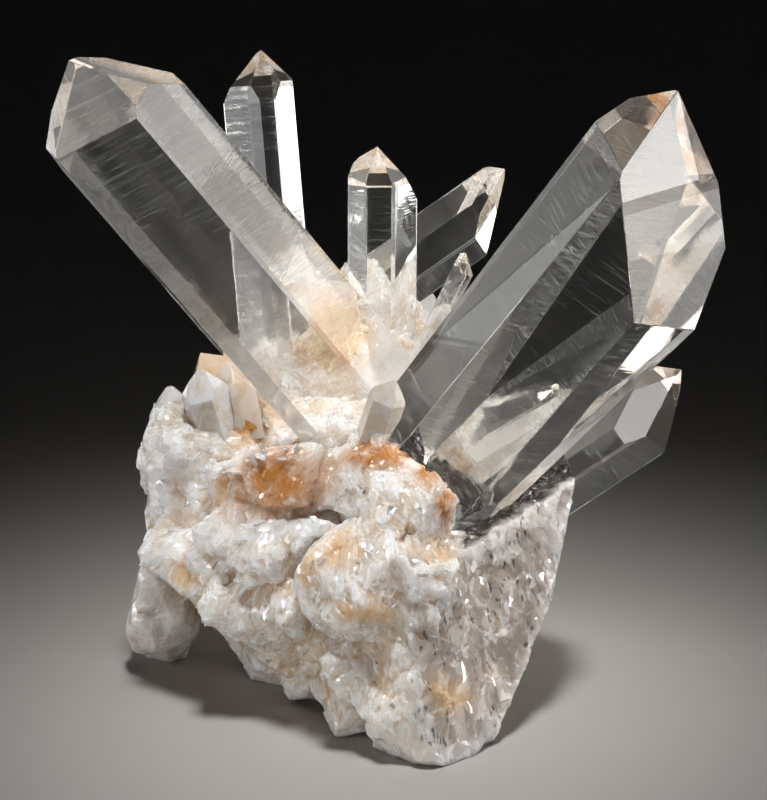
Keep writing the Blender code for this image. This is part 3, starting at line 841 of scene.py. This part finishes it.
def milky_quartz(props):
    """Milky vein quartz, broken: clouded white to cream deep under a glassy fracture of
    small tilted shards. It is rusty where iron has seeped in, greyer where it is clearer,
    and crossed by white cracks and short dark gaps that the light doesn't reach."""
    mat, tree, shader = new_material("milky_vein_quartz")
    shader.inputs["Subsurface Radius"].default_value = (1.0, 0.88, 0.78)
    shader.inputs["Subsurface Scale"].default_value = 5.0 * MM
    shader.inputs["IOR"].default_value = QUARTZ_IOR
    place = add_node(tree, "ShaderNodeTexCoord").outputs["Object"]
    bent, fan = fan_out(tree, place)
    normal, wide, fine = broken_normal(tree, bent, fan)
    tree.links.new(normal, shader.inputs["Normal"])
    values = {kind: add_node(tree, "ShaderNodeAttribute", {"attribute_name": kind}).outputs["Fac"]
              for kind in MARKS}
    for kind, size, detail, rough, lay in GRAINS:
        values[kind] = add_node(tree, "ShaderNodeTexNoise", inputs={
            "Scale": 1.0 / (size * MM), "Detail": detail, "Roughness": rough},
            links={"Vector": fan if lay == "fan" else place}).outputs["Fac"]
    values["whiter"], values["browner"], values["greyer"] = wide
    values["glint"] = fine["Red"]
    values["crack"] = add_node(tree, "ShaderNodeTexVoronoi", {"feature": "DISTANCE_TO_EDGE"},
                               {"Scale": 1.0 / (SPLINTER_WIDTH * MM)},
                               {"Vector": fan}).outputs["Distance"]
    # painted shade goes in the short gaps
    values["gap"], values["chosen"] = painted_shade_gaps(tree, bent)
    # inner fractures that mirror the light: a few of the finest splinters, in patches
    values["flash"] = mask(tree, values, 1.0, ("glint", 0.95, 0.96), ("flashing", 0.50, 0.56),
                           ("deep", 0.3, 0.0), ("stain", 0.3, 0.0))
    tree.links.new(mask(tree, values, 0.6, ("flash", 0.0, 1.0)), shader.inputs["Metallic"])
    # clouds run from cream to white, under the coats
    clouds = add_node(tree, "ShaderNodeValToRGB", links={"Fac": values["clouds"]})
    ramp = clouds.color_ramp
    ramp.elements[0].position, ramp.elements[0].color = 0.38, props.cream_colour
    ramp.elements[1].position, ramp.elements[1].color = 0.60, props.milky_colour
    colour = clouds.outputs["Color"]
    for setting, most, *places in COATS:
        shown = mask(tree, values, most, *places)
        colour = add_node(tree, "ShaderNodeMix", {"data_type": "RGBA"},
                          {OVER: getattr(props, setting)},
                          {FACTOR: shown, UNDER: colour}).outputs[MIXED]
    tree.links.new(colour, shader.inputs["Base Color"])
    # the light goes deep into the milky parts alone, not where shade is painted under the thick
    # crystal
    tree.links.new(mask(tree, values, 1.0, ("deep", 1.0, 0.0)),
                   shader.inputs["Subsurface Weight"])
    gloss = add_node(tree, "ShaderNodeMapRange", inputs={"To Min": 0.10, "To Max": 0.40},
                     links={"Value": fine["Green"]})
    tree.links.new(gloss.outputs["Result"], shader.inputs["Roughness"])
    return mat


def cloudy_quartz(props):
    """Cloudy quartz in small points and thin blades: half see-through, cream to white,
    with a glassy skin."""
    mat, tree, shader = new_material("cloudy_quartz")
    shader.inputs["IOR"].default_value = QUARTZ_IOR
    shader.inputs["Transmission Weight"].default_value = 0.3
    shader.inputs["Subsurface Weight"].default_value = 0.6
    shader.inputs["Subsurface Radius"].default_value = (1.0, 0.9, 0.8)
    shader.inputs["Subsurface Scale"].default_value = 2.0 * MM
    shader.inputs["Roughness"].default_value = 0.12
    place = add_node(tree, "ShaderNodeTexCoord").outputs["Object"]
    clouds = add_node(tree, "ShaderNodeTexNoise", inputs={
        "Scale": 1.0 / (3.85 * MM), "Detail": 6.0, "Roughness": 0.65, "Distortion": 1.0},
        links={"Vector": place})
    tint = add_node(tree, "ShaderNodeValToRGB", links={"Fac": clouds.outputs["Fac"]})
    ramp = tint.color_ramp
    ramp.elements[0].position, ramp.elements[0].color = 0.36, props.stub_colour
    ramp.elements[1].position, ramp.elements[1].color = 0.56, props.white_colour
    stain = add_node(tree, "ShaderNodeAttribute", {"attribute_name": "amber"})
    colour = add_node(tree, "ShaderNodeMix", {"data_type": "RGBA"},
                      {OVER: props.amber_colour},
                      {FACTOR: stain.outputs["Fac"], UNDER: tint.outputs["Color"]})
    tree.links.new(colour.outputs[MIXED], shader.inputs["Base Color"])
    # growth steps and pits 1 mm across
    pits = add_node(tree, "ShaderNodeTexNoise", inputs={
        "Scale": 1.0 / (1.11 * MM), "Detail": 4.0}, links={"Vector": place})
    bump = add_node(tree, "ShaderNodeBump", inputs={"Strength": 1.0, "Distance": 0.08 * MM},
                    links={"Height": pits.outputs["Fac"]})
    tree.links.new(bump.outputs["Normal"], shader.inputs["Normal"])
    return mat


def splinter_quartz(props):
    """Thin clear splinters of quartz, whitened by the cracks inside them."""
    mat, tree, shader = new_material("splintered_quartz")
    shader.inputs["IOR"].default_value = QUARTZ_IOR
    shader.inputs["Roughness"].default_value = 0.06
    place = add_node(tree, "ShaderNodeTexCoord").outputs["Object"]
    cracks = add_node(tree, "ShaderNodeTexNoise", inputs={
        "Scale": 1.0 / (1.43 * MM), "Detail": 4.0, "Roughness": 0.6, "Distortion": 1.0},
        links={"Vector": place})
    clear = add_node(tree, "ShaderNodeMapRange", inputs={
        "From Min": 0.40, "From Max": 0.62, "To Min": 0.1, "To Max": 0.6},
        links={"Value": cracks.outputs["Fac"]})
    tree.links.new(clear.outputs["Result"], shader.inputs["Transmission Weight"])
    shader.inputs["Base Color"].default_value = props.white_colour
    return mat


# Settings

def swatch(name, description, hex_colour):
    """A colour that a user can change."""
    return FloatVectorProperty(name=name, description=description, subtype="COLOR", size=4,
                               min=0.0, max=1.0, default=linear(hex_colour))


class QuartzSettings(PropertyGroup):
    clear_colour: swatch("Clear quartz", "Tint of the clear crystals", "#FBFAF6")
    tip_colour: swatch("Crystal tips", "Tint of the crystals' points", "#FFF4E6")
    veil_colour: swatch("Veils", "Colour of the white veils in the crystals", "#D6D1CB")
    growth_relief: FloatProperty(
        name="Growth lines", description="Height of the growth lines", default=0.000028,
        min=0.0, max=0.0002, unit="LENGTH")
    edge_width: FloatProperty(
        name="Edge wear", description="Width of the worn edges", default=0.00012,
        min=0.0, max=0.001, unit="LENGTH")
    voxel: FloatProperty(
        name="Lump grain", description="Size of the smallest break", default=0.00045,
        min=0.0003, max=0.002, unit="LENGTH")
    lump_triangles: IntProperty(
        name="Lump triangles", description="Most triangles in the lump", default=60000,
        min=10000)
    milky_colour: swatch("Milky quartz", "Colour of the lump", "#EAE4DC")
    cream_colour: swatch("Cream quartz", "Colour of the lump's clouds", "#E0D2BF")
    slab_colour: swatch("Sheared face", "Colour of the flat sheared face", "#ADA097")
    white_colour: swatch("White quartz", "Colour of the whitest parts", "#F4F4F5")
    grey_colour: swatch("Clearer quartz", "Colour of the clearer patches", "#B8B1AA")
    smoky_colour: swatch("Smoky quartz", "Colour of the grey-brown parts", "#B5AAA2")
    rust_colour: swatch("Iron stain", "Colour of the stained faces", "#BC8140")
    amber_colour: swatch("Faint stain", "Colour of the fainter stains", "#E2BE8E")
    seep_colour: swatch("Hollows", "Colour deep in the hollows", "#D2B48F")
    # painted shade: the near-black colour painted on the lump under the thick right-hand crystal
    painted_shade_colour: swatch("Under the thick crystals", "Colour of the clear dark parts", "#2C2621")
    bright_colour: swatch(
        "Cracks and flashes", "Colour of the white cracks and the flashes", "#FFFFFF")
    # painted shade: the dark grey painted in the short gaps and the clusters of specks
    gap_shade_colour: swatch("Dark gaps", "Colour of the short dark gaps", "#57524F")
    stub_colour: swatch("Cloudy stubs", "Colour of the small points", "#DDD0BA")
    plates: IntProperty(
        name="Plates", description="Number of plates that stand out of the lump", default=200,
        min=0)
    feathers: IntProperty(
        name="Feathers", description="Number of splinters that fan out over the boss",
        default=26, min=0)
    flakes: IntProperty(
        name="Blades", description="Number of thin broken blades", default=30, min=0)
    flake_seed: IntProperty(
        name="Blade seed", description="Changes how plates and blades lie", default=5)
    floor_colour: swatch("Floor", "Colour of the floor", "#B9B6B1")
    light_power: FloatProperty(
        name="Light", description="Strength of all the softboxes", default=1.0, min=0.0)


# Operators

class QUARTZ_OT_crystals(Operator):
    """The seven clear crystals"""
    bl_idname = "quartz.crystals"
    bl_label = "Clear crystals"

    def execute(self, context):
        props = context.scene.quartz
        mat = clear_quartz(props)
        for name, spec in CRYSTALS.items():
            bm = crystal_bmesh(spec)
            edges = [e for e in bm.edges if e.calc_length() > 4.0 * props.edge_width]
            wear_edges(bm, edges, props.edge_width)
            growth_map(bm, spec)
            bm.transform(crystal_frame(spec))
            bmesh.ops.recalc_face_normals(bm, faces=bm.faces)
            obj = finish_piece("clear_" + name, bm, mat, (name,))
            # a clear solid's plain shadow would black out the lump under it
            obj.visible_shadow = False
        return {"FINISHED"}


class QUARTZ_OT_lump(Operator):
    """The broken lump of milky quartz"""
    bl_idname = "quartz.lump"
    bl_label = "Milky lump"

    def execute(self, context):
        props = context.scene.quartz
        bm = bmesh.new()
        bm.from_mesh(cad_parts["matrix"].data)
        bmesh.ops.remove_doubles(bm, verts=bm.verts, dist=1e-6)
        solid = BVHTree.FromBMesh(bm)
        rng = random.Random(props.flake_seed)
        self.add_plates(bm, rng)
        self.scatter_plates(bm, rng, solid, props.plates)
        self.add_feathers(bm, rng, solid, props.feathers)
        obj = finish_piece("milky_lump", bm, milky_quartz(props), ("matrix",))
        bm = self.finished(context, obj, "REMESH", mode="VOXEL", voxel_size=props.voxel)
        bmesh.ops.smooth_vert(bm, verts=bm.verts, factor=0.5, use_axis_x=True,
                              use_axis_y=True, use_axis_z=True)
        break_surface(bm)
        bmesh.ops.triangulate(bm, faces=bm.faces)
        ratio = min(1.0, props.lump_triangles / len(bm.faces))
        bm.to_mesh(obj.data)
        bm.free()
        bm = self.finished(context, obj, "DECIMATE", ratio=ratio)
        # a crumb that is only two faces back to back is no part of the lump
        crumbs = [f for f in bm.faces if len({g for e in f.edges for g in e.link_faces}) == 2]
        bmesh.ops.delete(bm, geom=crumbs, context="FACES")
        mark_surface(bm)
        for face in bm.faces:
            face.smooth = False
        bm.to_mesh(obj.data)
        bm.free()
        return {"FINISHED"}

    def add_plates(self, bm, rng):
        """Large plates where they stand out."""
        for middle, outward, along, size in PLATES:
            plate = splinter(rng, *(Vector(size) * MM), cuts=3)
            lie(plate, Vector(middle) * MM, outward, along)
            add_into(bm, plate)

    def scatter_plates(self, bm, rng, solid, count):
        """Smaller plates lying outwards all over, but not where the lump is calm or has painted
        shade.
        """
        made = 0
        while made < count:
            spot, normal = cast_at(rng, solid)
            if spot is None or abs((spot / MM - SLAB_POINT).dot(SLAB_NORMAL)) < 5.0:
                continue
            mark = np.array([spot])
            if near_spots(mark, CALM_SPOTS)[0] + painted_shade_cover(mark)[0] + stub_cover(mark)[0] > 0.2:
                continue
            out = (spot - PLATE_MIDDLE * MM).normalized()
            along = out + 0.5 * any_way(rng)
            along -= normal * (along.dot(normal) - rng.uniform(0.0, 0.25))
            along.normalize()
            outward = normal + 0.25 * any_way(rng)
            if outward.cross(along).length < 0.2:
                continue
            length = rng.uniform(4.0, 9.0) * MM
            plate = splinter(rng, length, rng.uniform(2.5, 5.5) * MM, rng.uniform(1.2, 2.4) * MM)
            lie(plate, spot - normal * 0.4 * MM - along * 0.2 * length, outward, along)
            add_into(bm, plate)
            made += 1

    def add_feathers(self, bm, rng, solid, count):
        """Feathers that fan out over the boss at the front."""
        for _ in range(count):
            start = Vector((rng.uniform(-15.0, 9.0), -100.0, rng.uniform(12.0, 38.0))) * MM
            spot, normal, _, _ = solid.ray_cast(start, Vector((0, 1, 0)))
            along = (spot - FAN_MIDDLE * MM).normalized()
            along = (along - normal * along.dot(normal)).normalized()
            feather = splinter(rng, rng.uniform(6.0, 11.0) * MM, rng.uniform(1.4, 3.2) * MM,
                               rng.uniform(0.9, 1.6) * MM)
            lie(feather, spot - normal * 0.1 * MM, normal + 0.35 * any_way(rng), along)
            add_into(bm, feather)

    def finished(self, context, obj, kind, **settings):
        """The object's mesh after one modifier, which is then taken off."""
        modifier = obj.modifiers.new("step", kind)
        for key, value in settings.items():
            setattr(modifier, key, value)
        bm = bmesh.new()
        bm.from_mesh(obj.evaluated_get(context.evaluated_depsgraph_get()).to_mesh())
        obj.modifiers.clear()
        return bm


class QUARTZ_OT_stubs(Operator):
    """The small cloudy points that stand on the lump"""
    bl_idname = "quartz.stubs"
    bl_label = "Cloudy stubs"

    def execute(self, context):
        props = context.scene.quartz
        whole = bmesh.new()
        for root, lean, turn, roll, radius, length, seed, stain in STUBS:
            rng = random.Random(seed)
            sides = [radius * rng.uniform(0.72, 1.0) + 0.25 for _ in range(6)]
            tips = [length + radius * rng.uniform(0.0, 0.9) + 0.4 for _ in range(6)]
            spec = dict(root=root, lean=lean, turn=turn, roll=roll, reach=length, sides=sides,
                        tips=tips)
            bm = crystal_bmesh(spec)
            wear_edges(bm, bm.edges[:], props.edge_width)
            layer = bm.faces.layers.float.new("amber")
            for face in bm.faces:
                face[layer] = stain
            bm.transform(crystal_frame(spec))
            add_into(whole, bm)
        finish_piece("cloudy_stubs", whole, cloudy_quartz(props))
        return {"FINISHED"}


class QUARTZ_OT_flakes(Operator):
    """Thin broken blades between the crystals' roots and over the lump"""
    bl_idname = "quartz.flakes"
    bl_label = "Broken blades"

    def execute(self, context):
        props = context.scene.quartz
        rng = random.Random(props.flake_seed)
        tree = BVHTree.FromObject(bpy.data.objects["milky_lump"],
                                  context.evaluated_depsgraph_get())
        whole = bmesh.new()
        made = 0
        while made < props.flakes:
            target, radii = rng.choice(FLAKE_SPOTS)
            middle = Vector([c + rng.gauss(0, 0.5) * r for c, r in zip(target, radii)]) * MM
            away = Vector((rng.gauss(0, 0.5), rng.gauss(-0.7, 0.4), rng.gauss(0.7, 0.4)))
            away.normalize()
            spot, normal, _, _ = tree.ray_cast(middle + away * OUTSIDE, -away)
            if spot is None or normal.z < -0.4 or spot.x > 13 * MM:
                continue
            out = (spot - BLADE_MIDDLE * MM).normalized()
            along = out + 0.6 * any_way(rng) - normal * 0.4
            if normal.cross(along).length < 0.2:
                continue
            grow = rng.uniform(0.7, 1.5)
            needle = splinter(rng, rng.uniform(3.0, 6.0) * grow * MM,
                              rng.uniform(0.3, 1.1) * grow * MM, rng.uniform(0.2, 0.5) * MM)
            lie(needle, spot - normal * 0.1 * MM, normal, along)
            add_into(whole, needle)
            made += 1
        bmesh.ops.recalc_face_normals(whole, faces=whole.faces)
        finish_piece("broken_blades", whole, splinter_quartz(props))
        return {"FINISHED"}


class QUARTZ_OT_stage(Operator):
    """The floor, the lights and the camera"""
    bl_idname = "quartz.stage"
    bl_label = "Stage"

    def execute(self, context):
        props = context.scene.quartz
        scene = context.scene
        world = bpy.data.worlds.new("dim_room")
        world.use_nodes = True
        back = world.node_tree.nodes["Background"]
        back.inputs["Color"].default_value = ROOM
        scene.world = world
        scene.view_settings.view_transform = "Standard"

        bm = bmesh.new()
        bmesh.ops.create_grid(bm, x_segments=1, y_segments=1, size=1.5)
        mat, tree, shader = new_material("pale_floor")
        shader.inputs["Base Color"].default_value = props.floor_colour
        shader.inputs["Roughness"].default_value = 0.8
        mesh = bpy.data.meshes.new("floor")
        bm.to_mesh(mesh)
        bm.free()
        mesh.materials.append(mat)
        floor = bpy.data.objects.new("floor", mesh)
        scene.collection.objects.link(floor)

        # the softboxes round the cluster are kept off the floor, so that only the small
        # overhead one lights it and the floor darkens behind the crystals
        pieces = [obj for obj in scene.objects if obj.type == "MESH" and obj != floor]
        for name, lit, place, aim, (width, height), brightness in SOFTBOXES:
            lamp = bpy.data.lights.new("softbox_" + name, "AREA")
            lamp.shape = "RECTANGLE"
            lamp.size, lamp.size_y = width, height
            lamp.energy = props.light_power * brightness * math.pi * width * height
            obj = bpy.data.objects.new("softbox_" + name, lamp)
            obj.location = place
            look = Vector(aim) - Vector(place)
            obj.rotation_euler = look.to_track_quat("-Z", "Y").to_euler()
            obj.visible_camera = False
            scene.collection.objects.link(obj)
            if lit:
                group = bpy.data.collections.new("lit_by_" + name)
                for piece in pieces:
                    if piece.name.startswith(lit):
                        group.objects.link(piece)
                obj.light_linking.receiver_collection = group
            else:
                lamp.spread = math.radians(TOP_SPREAD)

        cam = bpy.data.cameras.new("camera")
        camera = bpy.data.objects.new("camera", cam)
        scene.collection.objects.link(camera)
        rise = math.radians(VIEW_RISE)
        camera.location = (0, -math.cos(rise) * VIEW_DISTANCE,
                           VIEW_MIDDLE + math.sin(rise) * VIEW_DISTANCE)
        camera.rotation_euler = (math.radians(90) - rise, 0, 0)
        cam.sensor_fit = "VERTICAL"
        cam.sensor_height = 36.0
        cam.lens = cam.sensor_height * VIEW_DISTANCE / VIEW_HEIGHT
        cam.clip_start, cam.clip_end = 0.01, 20.0
        scene.camera = camera
        return {"FINISHED"}


class QUARTZ_PT_panel(Panel):
    """The groups of pieces and the settings, in the sidebar"""
    bl_label = "Quartz cluster"
    bl_idname = "QUARTZ_PT_panel"
    bl_space_type = "VIEW_3D"
    bl_region_type = "UI"
    bl_category = "Quartz"

    def draw(self, context):
        for kind in OPERATORS:
            self.layout.operator(kind.bl_idname)
        for setting in QuartzSettings.__annotations__:
            self.layout.prop(context.scene.quartz, setting)


OPERATORS = (QUARTZ_OT_crystals, QUARTZ_OT_lump, QUARTZ_OT_stubs, QUARTZ_OT_flakes,
             QUARTZ_OT_stage)
CLASSES = (QuartzSettings, *OPERATORS, QUARTZ_PT_panel)


def register():
    for kind in CLASSES:
        bpy.utils.register_class(kind)
    bpy.types.Scene.quartz = PointerProperty(type=QuartzSettings)


def unregister():
    del bpy.types.Scene.quartz
    for kind in reversed(CLASSES):
        bpy.utils.unregister_class(kind)


def main():
    register()
    bpy.ops.quartz.crystals()
    bpy.ops.quartz.lump()
    bpy.ops.quartz.stubs()
    bpy.ops.quartz.flakes()
    bpy.ops.quartz.stage()


if __name__ == "__main__":
    main()
